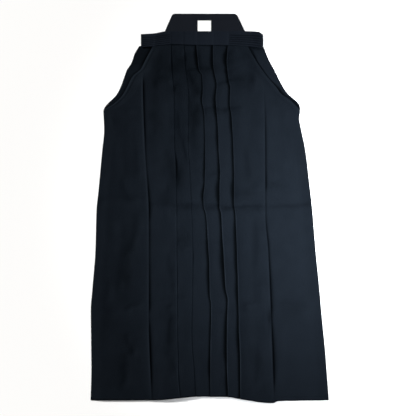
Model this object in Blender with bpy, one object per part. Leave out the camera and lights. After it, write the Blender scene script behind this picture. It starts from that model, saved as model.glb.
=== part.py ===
"""Divided hakama trousers laid flat, front upwards: metres, +X to the viewer's right, +Y to the waist, +Z up."""

from collections import namedtuple
from math import atan2, cos, pi, sin

import bpy

# Driving dimensions
FRONT_LENGTH = 0.950  # top of the front band to the hem
BAND_HEIGHT = 0.036
SEAM_DROP = FRONT_LENGTH - BAND_HEIGHT  # waist seam to the hem
BOARD_HEIGHT = 0.083  # back board above the waist seam
LOWEST_HEM = 0.007  # how far the hem's lowest point hangs below its ends
HEM_Y = -(SEAM_DROP + BOARD_HEIGHT + LOWEST_HEM) / 2 + LOWEST_HEM
WAIST_Y = HEM_Y + SEAM_DROP

WALL = 0.0010  # cloth
GAP = 0.0003  # between pieces, and between the layers of a fold
PITCH = WALL + GAP
RAMP = 0.009  # how far a layer takes to come down beside the edge below it
UNDERLAP = 0.92  # depth of an inner pleat, as a share of the space to the next pleat
OUTER_UNDERLAP_LEFT = 0.034
OUTER_UNDERLAP_RIGHT = 0.036
SEAM_INSET = 0.015  # centre seam, to the right of pleat a's edge
BACK_UNDERLAP = 0.4  # back pleat's depth on the right, as a share of the space from b to c
BACK_FOLD_INSET = 0.0015  # the two back pleats meet at the centre seam
TIE_WIDTH = 0.030
TIE_INSET = 0.001  # from the fold of the outer pleat
TIE_END_DROP = 0.820
MITRE_STEP = 0.0015
TIE_TOP = 0.0275  # top of the ties above the waist seam
PANEL_TOP = 0.024  # front panels' top edge, inside the band
BOARD_WALL = 0.0030
BOARD_TOP = (-0.0917, 0.0686)
BOARD_BASE = (-0.1320, 0.1092)
BOARD_CORNER = 0.006
CREASE_HEIGHT = 0.0015
CREASE_HALF = 0.006
CREASE_SHARE = 0.4  # the ridge keeps to this share of the room on each side
CREASE_DROP = 0.06  # where the ridges start, and the drop over which they rise
CREASE_RISE = 0.08
LABEL_X = (-0.0310, 0.0046)
LABEL_TOP = 0.0653  # above the waist seam
LABEL_LOW = 0.0290
LABEL_WALL = 0.0005
EDGE_STEP = 0.0018  # from a pleat's edge to the top of the band's step over it
EDGE_SLOPE = 0.003
BAND_TURN = 0.004  # the band's inner edge, above the waist seam
BAND_ROUND = 0.0015
BOARD_RIM = 0.0008
CORNER_STEPS = 3
GUSSET_LEFT = 0.012  # gusset's edge, to the left of pleat a's edge
GUSSET_TOP = 0.408  # drops of its upper and lower edge
GUSSET_FOOT = 0.500

# Half outlines at each drop below the waist seam. Down to the foot of the side opening the
# front panels end inside the back ones.
Section = namedtuple("Section", "drop back_left back_right front_left front_right")
SECTIONS = [
    Section(0.000, -0.181, 0.138, -0.146, 0.097),
    Section(0.036, -0.199, 0.153, -0.165, 0.118),
    Section(0.077, -0.219, 0.175, -0.197, 0.147),
    Section(0.108, -0.231, 0.190, -0.214, 0.174),
    Section(0.132, -0.247, 0.212, -0.227, 0.199),
    Section(0.156, -0.268, 0.233, -0.255, 0.224),
    Section(0.168, -0.274, 0.235, -0.274, 0.235),
    Section(0.268, -0.277, 0.247, -0.277, 0.247),
    Section(GUSSET_TOP, -0.290, 0.262, -0.290, 0.262),
    Section(GUSSET_FOOT, -0.294, 0.271, -0.294, 0.271),
    Section(0.656, -0.304, 0.286, -0.304, 0.286),
    Section(0.785, -0.306, 0.298, -0.306, 0.298),
    Section(SEAM_DROP, -0.307, 0.307, -0.307, 0.307),
]

# Folded edges of the five front pleats, from left to right, and the two storage creases.
Pleats = namedtuple("Pleats", "drop left_crease d e a b c right_crease")
PLEATS = [
    Pleats(0.000, -0.144, -0.099, -0.066, -0.031, 0.008, 0.049, 0.0955),
    Pleats(0.139, -0.171, -0.092, -0.055, -0.017, 0.019, 0.056, 0.143),
    Pleats(0.243, -0.168, -0.091, -0.056, -0.011, 0.025, 0.064, 0.143),
    Pleats(0.475, -0.156, -0.085, -0.046, -0.007, 0.031, 0.068, 0.146),
    Pleats(0.759, -0.156, -0.083, -0.046, -0.002, 0.040, 0.073, 0.159),
    Pleats(SEAM_DROP, -0.149, -0.076, -0.038, 0.003, 0.049, 0.080, 0.166),
]

# The hem is drawn up a little by the pleats.
Hem = namedtuple("Hem", "x rise")
HEM = [
    Hem(-0.307, 0.000),
    Hem(-0.150, 0.000),
    Hem(-0.076, 0.006),
    Hem(-0.035, 0.010),
    Hem(0.048, 0.009),
    Hem(0.080, 0.004),
    Hem(0.166, -LOWEST_HEM),
    Hem(0.200, -0.001),
    Hem(0.307, 0.000),
]

# Edges of the front band above the waist seam.
Band = namedtuple("Band", "x lower upper")
BAND = [
    Band(-0.177, -0.004, 0.0300),
    Band(-0.142, -0.001, 0.0315),
    Band(-0.100, 0.003, 0.0360),
    Band(-0.030, 0.001, 0.0366),
    Band(0.048, 0.000, 0.0366),
    Band(0.097, -0.002, 0.0370),
    Band(0.125, -0.005, 0.0350),
    Band(0.138, -0.007, 0.0290),
]

NAVY = (0.0095, 0.0125, 0.018, 1.0)
WHITE = (0.86, 0.86, 0.85, 1.0)


def between(rows, key, at, value):
    """Linear interpolation of one named column of a table by another."""
    for low, high in zip(rows, rows[1:]):
        start, end = getattr(low, key), getattr(high, key)
        if at <= end or high is rows[-1]:
            share = min(1.0, max(0.0, (at - start) / (end - start)))
            return getattr(low, value) + share * (getattr(high, value) - getattr(low, value))


def columns_at(drop):
    """Named places across the garment at one drop, ordered from left to right."""
    at = max(0.0, drop)
    x = {name: between(PLEATS, "drop", at, name) for name in Pleats._fields[1:]}
    for name in Section._fields[1:]:
        x[name] = between(SECTIONS, "drop", at, name)
    x["e_under"] = x["e"] - UNDERLAP * (x["e"] - x["d"])
    x["a_under"] = x["a"] + UNDERLAP * (x["b"] - x["a"])
    x["b_under"] = x["b"] + UNDERLAP * (x["c"] - x["b"])
    x["d_under"] = x["d"] - OUTER_UNDERLAP_LEFT
    x["c_under"] = x["c"] + OUTER_UNDERLAP_RIGHT
    x["seam"] = x["a"] + SEAM_INSET
    x["seam_left"] = x["seam"] - GAP / 2
    x["seam_right"] = x["seam"] + GAP / 2
    x["back_fold_left"] = x["seam"] - BACK_FOLD_INSET
    x["back_fold_right"] = x["seam"] + BACK_FOLD_INSET
    x["back_under"] = x["b"] + BACK_UNDERLAP * (x["c"] - x["b"])
    x["tie_outer_left"] = x["d_under"] + TIE_INSET
    x["tie_inner_left"] = x["tie_outer_left"] + TIE_WIDTH
    x["tie_outer_right"] = x["c_under"] - TIE_INSET
    x["tie_inner_right"] = x["tie_outer_right"] - TIE_WIDTH
    x["gusset"] = x["a"] - GUSSET_LEFT
    for name in ("d_under", "e_under", "e", "gusset"):
        x[name + "_foot"] = x[name] - RAMP
    for name in ("a_under", "b_under", "back_under", "c_under", "tie_inner_left"):
        x[name + "_foot"] = x[name] + RAMP
    x["tie_inner_right_foot"] = x["tie_inner_right"] - RAMP
    for side, before, after in (
        ("left", "front_left", "d_under_foot"),
        ("right", "c_under_foot", "front_right"),
    ):
        peak = x[side + "_crease"]
        room = min(peak - x[before], x[after] - peak)
        half = min(CREASE_HALF, CREASE_SHARE * room)
        x[side + "_crease_start"] = peak - half
        x[side + "_crease_end"] = peak + half
    return x


# Cloth layers from the surface upwards: the columns between which each one lies.
Layer = namedtuple("Layer", "name left right first last")
ALL = (0.0, 1.0)
LAYERS = [
    Layer("back_outer", "back_left", "back_right", *ALL),
    Layer("back_return", "e", "back_under", *ALL),
    Layer("back_inner", "e", "back_under", *ALL),
    Layer("back_tie", "d_under", "tie_inner_left", *ALL),
    Layer("front_tie_down", "d_under", "tie_inner_left", *ALL),
    Layer("front_tie_up", "d_under", "tie_inner_left", *ALL),
    Layer("gusset", "gusset", "a_under", GUSSET_TOP, GUSSET_FOOT),
    Layer("front_inner", "e_under", "a_under", *ALL),
    Layer("e_return", "e_under", "e", *ALL),
    Layer("e_outer", "d_under", "e", *ALL),
    Layer("d_return", "d_under", "d", *ALL),
    Layer("d_outer", "front_left", "d", *ALL),
    Layer("a_return", "a", "a_under", *ALL),
    Layer("a_outer", "a", "b_under", *ALL),
    Layer("b_return", "b", "b_under", *ALL),
    Layer("b_outer", "b", "c_under", *ALL),
    Layer("c_return", "c", "c_under", *ALL),
    Layer("c_outer", "c", "front_right", *ALL),
]
# The ties lie inside both legs at the same three levels.
RIGHT_TIES = ("tie_inner_right", "c_under")
ORDER = {layer.name: place for place, layer in enumerate(LAYERS)}
FIRST_FRONT = ORDER["front_inner"]
FIRST_DROP = SECTIONS[1].drop

BAND_BACK_Z = BOARD_WALL + 2 * PITCH + GAP + WALL / 2  # over the board and two ties
END_FALL = 0.0030  # the band's ends come down beside the board
END_REACH_LEFT = 0.040
END_REACH_RIGHT = 0.025


def cover(left, right, x):
    """1 over a layer, coming down to 0 beside it."""
    return max(0.0, min(1.0, 1 - (left - x) / RAMP, 1 - (x - right) / RAMP))


def board_lift(x):
    """1 over the back board, 0 at the band's ends."""
    left, right = BOARD_BASE
    return max(0.0, min(1.0, 1 - (left - x) / END_REACH_LEFT, 1 - (x - right) / END_REACH_RIGHT))


def layer_z(name, column, drop, x):
    """Mid height of a named layer at a named column: what lies under it holds it up."""
    at = x[column]
    place = ORDER[name]
    z = WALL / 2
    for lower in LAYERS[:place]:
        in_band = drop <= 0 and place >= FIRST_FRONT
        if in_band and ORDER[lower.name] < FIRST_FRONT:
            continue
        if lower.first != 0.0 and not lower.first <= drop <= lower.last:
            continue
        held = cover(x[lower.left], x[lower.right], at)
        if "tie" in lower.name:
            held = max(held, cover(x[RIGHT_TIES[0]], x[RIGHT_TIES[1]], at))
        z += PITCH * held
    if drop <= 0 and place >= FIRST_FRONT:
        z += BAND_BACK_Z + PITCH - WALL / 2 - END_FALL * (1 - board_lift(at))
    for side, layer in (("left", "d_outer"), ("right", "c_outer")):
        if name == layer and column == side + "_crease":
            z += CREASE_HEIGHT * max(0.0, min(1.0, (drop - CREASE_DROP) / CREASE_RISE))
    return z


def cloth_y(x_hem, drop):
    rise = between(HEM, "x", x_hem, "rise") * max(0.0, drop / SEAM_DROP) ** 2
    return WAIST_Y - drop + rise


def new_object(name, points, faces, colour, roughness=0.85):
    mesh = bpy.data.meshes.new(name)
    mesh.from_pydata(points, [], faces)
    mesh.validate()
    material = bpy.data.materials.new(name + "_finish")
    material.use_nodes = True
    shader = material.node_tree.nodes["Principled BSDF"]
    shader.inputs["Base Color"].default_value = colour
    shader.inputs["Roughness"].default_value = roughness
    shader.inputs["Metallic"].default_value = 0.0
    mesh.materials.append(material)
    thing = bpy.data.objects.new(name, mesh)
    bpy.context.collection.objects.link(thing)
    return thing


def walled(name, rows, forward, wall=WALL, colour=NAVY):
    """A closed wall around a grid of (point, normal) pairs, row by row.

    forward says for each step along a row whether it runs to the right. It keeps the
    diagonals of stacked layers in line, so that they never cross.
    """
    count = len(rows[0])
    points = []
    for side in (0.5, -0.5):
        for row in rows:
            for (x, y, z), (nx, ny, nz) in row:
                points.append((x + side * wall * nx, y + side * wall * ny, z + side * wall * nz))
    size = len(rows) * count
    faces = []
    for i in range(len(rows) - 1):
        for j in range(count - 1):
            a, b = i * count + j, i * count + j + 1
            c, d = a + count, b + count
            if forward[j]:
                pairs = [(a, c, d), (a, d, b)]
            else:
                pairs = [(a, c, b), (b, c, d)]
            for p, q, r in pairs:
                faces.append((p, q, r))
                faces.append((size + p, size + r, size + q))
    rim = [j for j in range(count)]
    rim += [i * count + count - 1 for i in range(1, len(rows))]
    rim += [(len(rows) - 1) * count + j for j in range(count - 2, -1, -1)]
    rim += [i * count for i in range(len(rows) - 2, 0, -1)]
    for p, q in zip(rim, rim[1:] + rim[:1]):
        faces.append((p, q, size + q, size + p))
    return new_object(name, points, faces, colour)


def folded_path(runs, drop, x):
    """Points, normals and step directions along one row of a pleated panel.

    Each run is (layer, columns in the order met). The cloth folds up from the end of one
    run into the start of the next, round half a circle.
    """
    path, forward = [], []
    for number, (layer, names) in enumerate(runs):
        rightward = x[names[-1]] > x[names[0]]
        up = 1.0 if rightward else -1.0
        for name in names:
            path.append((x[name], layer_z(layer, name, drop, x), 0.0, up))
            forward.append(rightward)
        if number == len(runs) - 1:
            break
        low = path[-1][1]
        high = layer_z(runs[number + 1][0], names[-1], drop, x)
        centre, radius = (low + high) / 2, (high - low) / 2
        for quarter in (-pi / 4, 0.0, pi / 4):
            path.append((
                x[names[-1]] + up * radius * cos(quarter),
                centre + radius * sin(quarter),
                -cos(quarter),
                -up * sin(quarter),
            ))
            forward.append(rightward)
    return path, forward


def panel(name, runs, drops):
    rows = []
    hem = columns_at(SEAM_DROP)
    hem_path, forward = folded_path(runs, SEAM_DROP, hem)
    for drop in drops:
        path, _ = folded_path(runs, drop, columns_at(drop))
        rows.append([
            ((x, cloth_y(at_hem[0], drop), z), (nx, 0.0, nz))
            for (x, z, nx, nz), at_hem in zip(path, hem_path)
        ])
    return walled(name, rows, forward)


FRONT_DROPS = [-PANEL_TOP] + [section.drop for section in SECTIONS]
BACK_DROPS = [GAP] + [section.drop for section in SECTIONS[1:]]


def make_front_left():
    inner = ["seam_left", "a", "gusset", "gusset_foot", "e", "e_foot", "tie_inner_left_foot", "e_under"]
    shelf = ["tie_inner_left_foot", "e_foot", "e"]
    runs = [
        ("front_inner", inner),
        ("e_return", ["e_under"] + shelf),
        ("e_outer", shelf[::-1] + ["e_under", "d", "tie_inner_left", "e_under_foot", "d_under"]),
        ("d_return", ["d_under", "e_under_foot", "tie_inner_left", "d"]),
        ("d_outer", ["d", "tie_inner_left", "e_under_foot", "d_under", "d_under_foot",
                     "left_crease_end", "left_crease", "left_crease_start", "front_left"]),
    ]
    return panel("front_panel_left", runs, FRONT_DROPS)


def make_front_right():
    outer = ["b_under_foot", "c_under", "c_under_foot", "right_crease_start", "right_crease",
             "right_crease_end", "front_right"]
    middle = ["back_under", "back_under_foot", "tie_inner_right_foot"]
    runs = [
        ("front_inner", ["seam_right", "a_under"]),
        ("a_return", ["a_under", "a"]),
        ("a_outer", ["a", "a_under", "b", "a_under_foot"] + middle + ["b_under"]),
        ("b_return", ["b_under"] + middle[::-1] + ["a_under_foot", "b"]),
        ("b_outer", ["b", "a_under_foot"] + middle
            + ["b_under", "c", "tie_inner_right", "b_under_foot", "c_under"]),
        ("c_return", ["c_under", "b_under_foot", "tie_inner_right", "c"]),
        ("c_outer", ["c", "tie_inner_right"] + outer),
    ]
    return panel("front_panel_right", runs, FRONT_DROPS)


def make_backs():
    panel("back_panel_left", [
        ("back_outer", ["back_left", "d_under", "e", "back_fold_left"]),
        ("back_return", ["back_fold_left", "e"]),
        ("back_inner", ["e", "seam_left"]),
    ], BACK_DROPS)
    panel("back_panel_right", [
        ("back_outer", ["back_right", "c_under", "back_under", "back_fold_right"]),
        ("back_return", ["back_fold_right", "back_under"]),
        ("back_inner", ["back_under", "seam_right"]),
    ], BACK_DROPS)


def make_gusset():
    rows = []
    for drop in (GUSSET_TOP, GUSSET_FOOT):
        x = columns_at(drop)
        row = []
        for name in ("gusset", "a", "a_under"):
            z = layer_z("gusset", name, drop, x)
            row.append(((x[name], cloth_y(x[name], drop), z), (0, 0, 1)))
        rows.append(row)
    walled("crotch_gusset", rows, [True] * 3)


def tie_z(name, side, edge, drop):
    """Height of a tie: flat behind the band, then down to its own level inside the leg."""
    x = columns_at(drop)
    column = edge + "_" + side
    if drop >= FIRST_DROP:
        return layer_z(name, column, drop, x)
    below = layer_z(name, column, FIRST_DROP, columns_at(FIRST_DROP))
    top = BOARD_WALL + GAP + WALL / 2 + PITCH * (ORDER[name] - ORDER["back_tie"])
    top -= END_FALL * (1 - board_lift(x[column]))
    return top + (below - top) * max(0.0, drop) / FIRST_DROP


def tie_row(name, side, drop, normal):
    x = columns_at(drop)
    return [
        ((x[edge + "_" + side], WAIST_Y - drop, tie_z(name, side, edge, drop)), normal)
        for edge in ("tie_inner", "tie_outer")
    ]


def make_back_tie(side, facing):
    """Sewn to the board's inner face near its corner, and laid straight down inside the leg."""
    drops = [-TIE_TOP, 0.0] + [s.drop for s in SECTIONS[1:-1]] + [TIE_END_DROP]
    rows = [tie_row("back_tie", side, drop, (0, 0, facing)) for drop in drops]
    walled("back_tie_" + side, rows, [facing > 0] * 2)


def make_front_tie(side, facing):
    """From the band's end: in behind the band, mitred down inside the leg, and back up."""
    flat = (0, 0, facing)
    x = columns_at(0.0)
    end_x = BAND[0].x if side == "left" else BAND[-1].x
    z = BOARD_WALL + GAP + WALL / 2 + PITCH
    upper, lower = WAIST_Y + TIE_TOP, WAIST_Y + TIE_TOP - TIE_WIDTH
    rows = []
    turned = TIE_WIDTH - TIE_TOP
    before_turn = x["tie_outer_" + side] + facing * MITRE_STEP
    for at in (end_x - facing * TIE_INSET, x["front_" + side], before_turn):
        height = z - END_FALL * (1 - board_lift(at))
        rows.append([((at, upper, height), flat), ((at, lower, height), flat)])
    rows.append([
        ((x["tie_inner_" + side], upper, z), flat),
        ((x["tie_outer_" + side], lower, tie_z("front_tie_down", side, "tie_outer", turned)), flat),
    ])
    drops = [turned + MITRE_STEP] + [s.drop for s in SECTIONS[1:-1]] + [TIE_END_DROP]
    rows += [tie_row("front_tie_down", side, drop, flat) for drop in drops]
    for angle in (-pi / 4, 0.0, pi / 4):
        low = tie_row("front_tie_down", side, TIE_END_DROP, flat)
        high = tie_row("front_tie_up", side, TIE_END_DROP, flat)
        row = []
        for ((px, py, pz), _), ((_, _, qz), _) in zip(low, high):
            radius = (qz - pz) / 2
            row.append((
                (px, py - radius * cos(angle), (pz + qz) / 2 + radius * sin(angle)),
                (0, facing * cos(angle), -facing * sin(angle)),
            ))
        rows.append(row)
    back = (0, 0, -facing)
    rows += [tie_row("front_tie_up", side, drop, back) for drop in drops[:1:-1]]
    walled("front_tie_" + side, rows, [facing > 0] * 2)


def make_band():
    """The front band folds over the pleats' top edge, as one strip with its fold upwards."""
    x = columns_at(0.0)
    low, high = EDGE_STEP + EDGE_SLOPE, EDGE_STEP
    stations = [(BAND[0].x, None)]
    for column, layer, held, aside in (
        ("front_left", "d_outer", "front_left", 0),
        ("d_under_foot", "d_outer", "d_under_foot", 0),
        ("d_under", "d_outer", "d_under", 0),
        ("e_under_foot", "d_outer", "e_under_foot", 0),
        ("d", "d_outer", "d", high),
        ("d", "e_outer", "e_under", low),
        ("e", "e_outer", "e", high),
        ("e", "front_inner", "e", low),
        ("a", "front_inner", "a", -low),
        ("a", "a_outer", "a", -high),
        ("b", "a_outer", "a_under", -low),
        ("b", "b_outer", "b", -high),
        ("a_under_foot", "b_outer", "a_under_foot", 0),
        ("c", "b_outer", "b_under", -low),
        ("c", "c_outer", "c", -high),
        ("b_under_foot", "c_outer", "b_under_foot", 0),
        ("c_under", "c_outer", "c_under", 0),
        ("c_under_foot", "c_outer", "c_under_foot", 0),
        ("front_right", "c_outer", "front_right", 0),
    ):
        stations.append((x[column] + aside, layer_z(layer, held, 0.0, x)))
    stations.append((BAND[-1].x, None))
    rows = []
    for place, held in stations:
        back = BAND_BACK_Z - END_FALL * (1 - board_lift(place))
        front = (back if held is None else held) + PITCH + GAP
        lower = WAIST_Y + between(BAND, "x", place, "lower")
        upper = WAIST_Y + between(BAND, "x", place, "upper") - WALL / 2
        reach = min((front - back) / 2, BAND_ROUND)
        centre = (front + back) / 2
        row = [((place, WAIST_Y + BAND_TURN, back), (0, 0, 1)), ((place, upper - reach, back), (0, 0, 1))]
        for angle in (-pi / 4, 0.0, pi / 4):
            row.append((
                (place, upper - reach + reach * cos(angle), centre + (front - back) / 2 * sin(angle)),
                (0, -cos(angle), -sin(angle)),
            ))
        row.append(((place, upper - reach, front), (0, 0, -1)))
        row.append(((place, lower, front), (0, 0, -1)))
        rows.append(row)
    walled("front_band", rows, [True] * len(rows[0]))


def make_board():
    low, top = WAIST_Y + GAP, WAIST_Y + BOARD_HEIGHT
    outline = [(BOARD_BASE[0], low), (BOARD_BASE[1], low)]
    for side, base_x, top_x in ((1, BOARD_BASE[1], BOARD_TOP[1]), (-1, BOARD_BASE[0], BOARD_TOP[0])):
        lean = atan2(side * (base_x - top_x), top - low)
        middle_x = top_x - side * BOARD_CORNER * (1 - sin(lean)) / cos(lean)
        middle_y = top - BOARD_CORNER
        angles = [lean + (pi / 2 - lean) * step / CORNER_STEPS for step in range(CORNER_STEPS + 1)]
        for angle in angles[::side]:
            corner_x = middle_x + side * BOARD_CORNER * cos(angle)
            outline.append((corner_x, middle_y + BOARD_CORNER * sin(angle)))
    count = len(outline)
    points = [(px, py, 0.0) for px, py in outline] + [(px, py, BOARD_WALL) for px, py in outline]
    faces = [tuple(range(count))[::-1], tuple(range(count, 2 * count))]
    faces += [(i, (i + 1) % count, count + (i + 1) % count, count + i) for i in range(count)]
    board = new_object("back_board", points, faces, NAVY)
    bevel = board.modifiers.new("soft_rim", "BEVEL")
    bevel.width = BOARD_RIM
    bevel.segments = 2
    bevel.limit_method = "ANGLE"


def make_label():
    z = BOARD_WALL + GAP + LABEL_WALL / 2
    rows = [
        [((x, WAIST_Y + height, z), (0, 0, 1)) for x in LABEL_X]
        for height in (LABEL_TOP, LABEL_LOW)
    ]
    walled("size_label", rows, [True] * 2, LABEL_WALL, WHITE)


for old in list(bpy.data.objects):
    bpy.data.objects.remove(old)
make_front_left()
make_front_right()
make_backs()
make_gusset()
for side, facing in (("left", -1), ("right", 1)):
    make_back_tie(side, facing)
    make_front_tie(side, facing)
make_band()
make_board()
make_label()
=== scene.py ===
import math
from collections import namedtuple

import bpy
import numpy as np
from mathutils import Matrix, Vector


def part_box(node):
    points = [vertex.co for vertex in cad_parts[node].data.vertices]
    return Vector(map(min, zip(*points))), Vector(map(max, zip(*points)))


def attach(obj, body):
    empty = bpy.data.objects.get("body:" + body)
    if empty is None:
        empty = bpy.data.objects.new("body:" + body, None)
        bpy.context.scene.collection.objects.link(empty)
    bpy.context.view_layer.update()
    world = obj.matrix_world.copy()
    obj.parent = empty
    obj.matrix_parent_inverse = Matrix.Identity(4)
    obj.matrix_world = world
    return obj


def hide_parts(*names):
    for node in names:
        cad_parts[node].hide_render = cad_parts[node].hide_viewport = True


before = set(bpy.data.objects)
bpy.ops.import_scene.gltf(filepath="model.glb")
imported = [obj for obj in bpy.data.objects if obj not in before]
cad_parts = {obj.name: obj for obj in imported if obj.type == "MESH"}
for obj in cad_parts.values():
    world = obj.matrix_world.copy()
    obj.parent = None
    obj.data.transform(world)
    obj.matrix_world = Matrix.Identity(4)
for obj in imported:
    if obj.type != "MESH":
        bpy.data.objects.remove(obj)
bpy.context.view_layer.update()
bpy.ops.object.select_all(action="DESELECT")


def table(columns, rows, asIs=()):
    # rows in millimetres made metres, apart from the columns in asIs
    row = namedtuple("row", columns)

    def metres(value, name):
        return value if name in asIs else value / 1000

    return [row(*map(metres, values, row._fields)) for values in rows]


# The garment lies with its front upwards. A drop is measured down from the waist seam.
seamGap = 0.0003
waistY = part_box("back_panel_left")[1].y + seamGap
seamDrop = 0.914
cloth = {
    "wall": 0.0006,
    "pitch": 0.0013,  # from one layer to the next
    "ramp": 0.010,  # how far the cloth takes to come down from a step below it
    "bridge": 0.050,  # the same for the front's layers
    "waistRun": 0.040,
    "bandBack": 0.0064,
    "tieWall": 0.0008,
}

# Outer edges of the back and of the front panels.
# Above the foot of the side openings the front ones lie inside.
sections = table("drop backLeft backRight frontLeft frontRight", [
    (0, -181, 138, -146, 97),
    (20, -193.5, 146, -156, 108.5),
    (36, -198.5, 152.5, -165, 118),
    (49, -204, 159.5, -171.5, 126.5),
    (61, -213, 166.5, -178, 135),
    (77, -219, 174.5, -197, 146.5),
    (107, -230, 190, -213, 172.5),
    (124, -238.5, 202.5, -222.5, 185),
    (137, -250, 217.5, -233, 205),
    (152, -266, 232, -250.5, 220.5),
    (168, -273.8, 233.8, -273.8, 233.8),
    (185, -273.2, 231, -273.2, 231),
    (217, -272, 236.5, -272, 236.5),
    (268, -276.8, 247, -276.8, 247),
    (372, -286.5, 259.4, -286.5, 259.4),
    (423, -291.7, 265.1, -291.7, 265.1),
    (527, -294.6, 273.6, -294.6, 273.6),
    (630, -302.6, 283.7, -302.6, 283.7),
    (682, -306.4, 288.1, -306.4, 288.1),
    (785, -305.4, 297.9, -305.4, 297.9),
    (836, -304.9, 301.8, -304.9, 301.8),
    (914, -307, 307.5, -307, 307.5),
])

# Folded edges of the five front pleats, from left to right: (drop, x).
# They step aside a little at each storage fold.
pleatRows = {
    "d": [
        (0, -99.1), (36, -99.6), (139, -91.9), (243, -91.9), (307, -88), (475, -85.4),
        (552, -84.9), (759, -82.9), (849, -81.6), (914, -76.4),
    ],
    "e": [
        (0, -66.1), (36, -64.8), (139, -54.5), (243, -56), (307, -53), (475, -45.5), (552, -44),
        (759, -46.7), (849, -40.3), (914, -37.7),
    ],
    "a": [
        (0, -33.1), (33, -29.4), (65, -25.7), (74, -18.5), (122, -16.4), (140, -18),
        (177, -12.7), (268, -10.4), (364, -11.9), (389, -14.6), (415, -13.9), (435, -8.7),
        (522, -2.4), (585, 0.6), (647, 1.2), (669, 4.5), (712, 5), (776, 3.4), (914, 3),
    ],
    "b": [
        (0, 9.5), (48, 10.2), (70, 13.2), (103, 19.6), (136, 16.9), (170, 19.6), (218, 22.4),
        (268, 24), (332, 27.4), (367, 26.1), (419, 26.9), (435, 30.9), (490, 33.6), (546, 37.6),
        (630, 41.8), (660, 47.2), (703, 46.2), (776, 45), (914, 48.2),
    ],
    "c": [
        (0, 48.3), (44, 45), (70, 47.2), (96, 50.9), (107, 53.9), (151, 53.1), (181, 57.6),
        (268, 61.6), (340, 64.1), (407, 63.3), (435, 67.3), (490, 69.3), (565, 72), (650, 74.7),
        (725, 76.3), (776, 78.5), (914, 80.2),
    ],
}
pleats = {name: table("drop x", rows) for name, rows in pleatRows.items()}

# Lengthwise creases left by storage, one down each leg.
legCreases = table("drop left right", [
    (0, -144, 95.5),
    (88, -172, 140),
    (256, -166.8, 143),
    (436, -156.4, 143.5),
    (527, -156, 150.8),
    (707, -156.2, 158.5),
    (914, -148.7, 166.2),
])

# The hem is drawn up a little by the pleats.
hemLine = table("x rise", [
    (-307, 0),
    (-150, 0.5),
    (-76, 6.5),
    (-35, 10),
    (48, 9.5),
    (80, 4.5),
    (163, -7),
    (176, -2),
    (215, -1),
    (307, 0),
])

bandEdges = table("x lower upper", [
    (-177, -4, 30),
    (-142, -1, 31.5),
    (-113, 2, 36.5),
    (-100, 3, 36.6),
    (-30, 1, 36.6),
    (48, 0, 36.6),
    (97, -2, 37),
    (125, -5, 36),
    (138, -7, 29),
])


def eased(share):
    share = np.clip(share, 0.0, 1.0)
    return share * share * (3 - 2 * share)


def bell(away, reach, power=2):
    return np.exp(-np.abs(away / reach) ** power)


def inside(left, right, run):
    # 0 at both edges, and 1 from this far in
    return eased(left / run) * eased(right / run)


def tableAt(rows, key, at):
    # a named column on a smooth curve through its rows, which never overshoots them
    xs = np.array([row[0] for row in rows])
    ys = np.array([getattr(row, key) for row in rows])
    widths = np.diff(xs)
    rise = np.diff(ys) / widths
    slope = np.concatenate([rise[:1], np.zeros(len(rise) - 1), rise[-1:]])
    for i in range(1, len(rise)):
        if rise[i - 1] * rise[i] > 0:
            slope[i] = 2 * rise[i - 1] * rise[i] / (rise[i - 1] + rise[i])
    at = np.clip(at, xs[0], xs[-1])
    i = np.clip(np.searchsorted(xs, at) - 1, 0, len(widths) - 1)
    t = (at - xs[i]) / widths[i]
    start = (1 + 2 * t) * (1 - t) ** 2 * ys[i] + t * (1 - t) ** 2 * widths[i] * slope[i]
    return start + t * t * (3 - 2 * t) * ys[i + 1] + t * t * (t - 1) * widths[i] * slope[i + 1]


noiseCells = 96
noiseShift = 40.0  # keeps every cell's number above 0
noises = {  # size across, size along, seed
    "mottle": (0.030, 0.085, 11),
    "fine": (0.011, 0.030, 12),
    "wander": (0.030, 0.030, 13),
    "uneven": (0.016, 0.016, 14),
    "ragged": (0.014, 0.020, 15),
    "band": (0.018, 0.5, 31),
    "label": (0.010, 0.014, 41),
}


def softNoise(x, y, sizeX, sizeY, seed):
    # smooth hills and hollows between -1 and 1, of about the given sizes
    grid = np.random.default_rng(seed).uniform(-1, 1, (noiseCells, noiseCells))
    u = np.asarray(x) / sizeX + noiseShift
    v = np.asarray(y) / sizeY + noiseShift
    i = np.floor(u).astype(int)
    j = np.floor(v).astype(int)
    s = eased(u - i)
    t = eased(v - j)

    def corner(a, b):
        return grid[(i + a) % noiseCells, (j + b) % noiseCells]

    low = corner(0, 0) * (1 - s) + corner(1, 0) * s
    high = corner(0, 1) * (1 - s) + corner(1, 1) * s
    return low * (1 - t) + high * t


def downNoise(drops, size, seed):
    # the same, changing only down the cloth
    return softNoise(drops, 0 * drops, size, 1, seed)


# Columns: where each fold, crease and edge runs, one value for each row of the cloth.
between = {  # two columns, and the share of the way from one to the other
    "eUnder": ("e", "d", 0.92),
    "aUnder": ("a", "b", 0.92),
    "bUnder": ("b", "c", 0.92),
    "backUnder": ("b", "c", 0.4),
}
beside = {  # a column, and how far to its right
    "dUnder": ("d", -0.034),
    "cUnder": ("c", 0.036),
    "seam": ("a", 0.015),
    "backFoldLeft": ("seam", -0.0015),
    "backFoldRight": ("seam", 0.0015),
    "seamLeft": ("seam", -0.0002),
    "seamRight": ("seam", 0.0002),
    "tieOuterLeft": ("dUnder", 0.001),
    "tieInnerLeft": ("tieOuterLeft", 0.030),
    "tieOuterRight": ("cUnder", -0.001),
    "tieInnerRight": ("tieOuterRight", -0.030),
    "gussetEdge": ("a", -0.012),
}
waver = {"depth": 0.0004, "size": 0.035, "seed": 20}


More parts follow.
